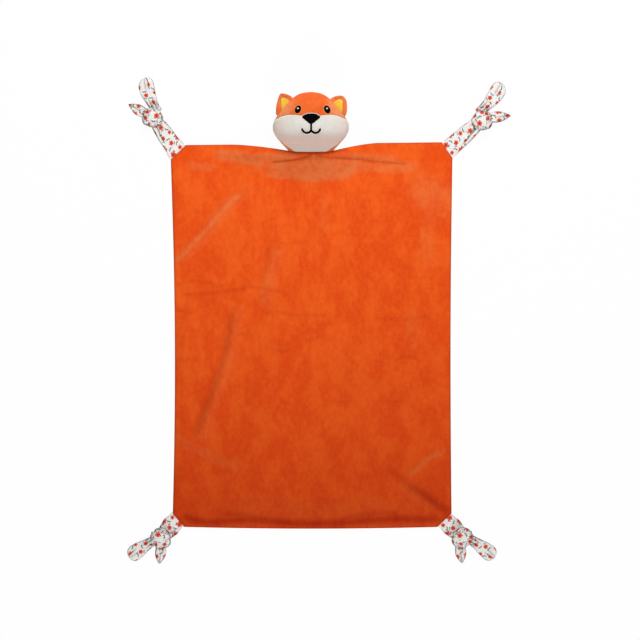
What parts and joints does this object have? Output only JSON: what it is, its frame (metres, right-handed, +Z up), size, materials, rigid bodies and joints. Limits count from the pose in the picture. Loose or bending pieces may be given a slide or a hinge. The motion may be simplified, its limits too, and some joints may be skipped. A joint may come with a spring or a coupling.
{
  "type": "comfort blanket lovey",
  "caption": "Flat plush comfort blanket with a stuffed fox head sewn to its top edge, folding ears and knotted cotton corner ties that swing",
  "frame": {"origin": "on the surface that the blanket lies on, under the middle of the blanket", "axes": "+X across the blanket to the right as seen from above, +Y from the middle towards the head, +Z up from the surface, out of the face"},
  "size_m": [0.5503, 0.6975, 0.0677],
  "materials": {
    "orange_plush": "short brushed pile, matt",
    "head_plush": "short brushed pile, matt",
    "white_plush": "short brushed pile, matt",
    "yellow_plush": "very short pile with a slight sheen",
    "black_embroidery": "satin-stitched thread",
    "white_embroidery": "satin-stitched thread",
    "printed_cotton": null,
    "polyester_fibre": "loose fibre fill"
  },
  "bodies": {
    "blanket": {"blanket_front_panel": "orange_plush", "blanket_back_panel": "orange_plush"},
    "head": {"head_crown_panel": "head_plush", "muzzle_panel": "white_plush", "head_back_panel": "head_plush", "head_stuffing": "polyester_fibre", "nose": "black_embroidery", "mouth_stitching": "black_embroidery", "left_eye": "black_embroidery", "right_eye": "black_embroidery", "left_eye_highlight": "white_embroidery", "right_eye_highlight": "white_embroidery"},
    "left_ear": {"left_ear_back": "head_plush", "left_ear_lining": "yellow_plush"},
    "right_ear": {"right_ear_back": "head_plush", "right_ear_lining": "yellow_plush"},
    "top_left_tie": {"top_left_tie_band": "printed_cotton", "top_left_tie_knot": "printed_cotton"},
    "top_left_long_end": {"top_left_tie_long_end": "printed_cotton"},
    "top_left_short_end": {"top_left_tie_short_end": "printed_cotton"},
    "top_right_tie": {"top_right_tie_band": "printed_cotton", "top_right_tie_knot": "printed_cotton"},
    "top_right_long_end": {"top_right_tie_long_end": "printed_cotton"},
    "top_right_short_end": {"top_right_tie_short_end": "printed_cotton"},
    "bottom_left_tie": {"bottom_left_tie_band": "printed_cotton", "bottom_left_tie_knot": "printed_cotton"},
    "bottom_left_long_end": {"bottom_left_tie_long_end": "printed_cotton"},
    "bottom_left_short_end": {"bottom_left_tie_short_end": "printed_cotton"},
    "bottom_right_tie": {"bottom_right_tie_band": "printed_cotton", "bottom_right_tie_knot": "printed_cotton"},
    "bottom_right_long_end": {"bottom_right_tie_long_end": "printed_cotton"},
    "bottom_right_short_end": {"bottom_right_tie_short_end": "printed_cotton"}
  },
  "joints": [
    {"name": "neck_fold", "type": "hinge", "parent": "blanket", "child": "head", "pos_m": [-0.001, 0.2666, 0.02245], "axis": [1, 0, 0], "range_deg": [-60, 75]},
    {"name": "left_ear_fold", "type": "hinge", "parent": "head", "child": "left_ear", "pos_m": [-0.04036, 0.3288, 0.03259], "axis": [0.6506, 0.7595, 0], "range_deg": [-45, 45], "stiffness_Nm_per_rad": 0.005},
    {"name": "right_ear_fold", "type": "hinge", "parent": "head", "child": "right_ear", "pos_m": [0.03836, 0.3288, 0.03259], "axis": [0.6506, -0.7595, 0], "range_deg": [-45, 45], "stiffness_Nm_per_rad": 0.005},
    {"name": "top_left_tie_swing", "type": "hinge", "parent": "blanket", "child": "top_left_tie", "pos_m": [-0.19262, 0.26297, 0.00245], "axis": [0.72, 0.694, 0], "range_deg": [-120, 120]},
    {"name": "top_left_long_end_swing", "type": "hinge", "parent": "top_left_tie", "child": "top_left_long_end", "pos_m": [-0.22489, 0.32689, 0.0062], "axis": [0.9511, 0.309, 0], "range_deg": [-60, 60]},
    {"name": "top_left_short_end_swing", "type": "hinge", "parent": "top_left_tie", "child": "top_left_short_end", "pos_m": [-0.23903, 0.31766, 0.0062], "axis": [0.5, 0.866, 0], "range_deg": [-60, 60]},
    {"name": "top_right_tie_swing", "type": "hinge", "parent": "blanket", "child": "top_right_tie", "pos_m": [0.19597, 0.26607, 0.00245], "axis": [0.5644, -0.8255, 0], "range_deg": [-120, 120]},
    {"name": "top_right_long_end_swing", "type": "hinge", "parent": "top_right_tie", "child": "top_right_long_end", "pos_m": [0.24552, 0.3236, 0.0062], "axis": [0.809, -0.5878, 0], "range_deg": [-60, 60]},
    {"name": "top_right_short_end_swing", "type": "hinge", "parent": "top_right_tie", "child": "top_right_short_end", "pos_m": [0.25632, 0.3118, 0.0062], "axis": [0.1045, -0.9945, 0], "range_deg": [-60, 60]},
    {"name": "bottom_left_tie_swing", "type": "hinge", "parent": "blanket", "child": "bottom_left_tie", "pos_m": [-0.19333, -0.26535, 0.00245], "axis": [-0.6585, 0.7526, 0], "range_deg": [-120, 120]},
    {"name": "bottom_left_long_end_swing", "type": "hinge", "parent": "bottom_left_tie", "child": "bottom_left_long_end", "pos_m": [-0.22945, -0.29615, 0.0062], "axis": [-0.5736, 0.8192, 0], "range_deg": [-60, 60]},
    {"name": "bottom_left_short_end_swing", "type": "hinge", "parent": "bottom_left_tie", "child": "bottom_left_short_end", "pos_m": [-0.21549, -0.30437, 0.0062], "axis": [-0.9936, 0.1132, 0], "range_deg": [-60, 60]},
    {"name": "bottom_right_tie_swing", "type": "hinge", "parent": "blanket", "child": "bottom_right_tie", "pos_m": [0.19232, -0.26616, 0.00245], "axis": [-0.7178, -0.6963, 0], "range_deg": [-120, 120]},
    {"name": "bottom_right_long_end_swing", "type": "hinge", "parent": "bottom_right_tie", "child": "bottom_right_long_end", "pos_m": [0.23042, -0.29446, 0.0062], "axis": [-0.6018, -0.7986, 0], "range_deg": [-60, 60]},
    {"name": "bottom_right_short_end_swing", "type": "hinge", "parent": "bottom_right_tie", "child": "bottom_right_short_end", "pos_m": [0.21296, -0.3036, 0.0062], "axis": [-0.9925, -0.1219, 0], "range_deg": [-60, 60]}
  ]
}
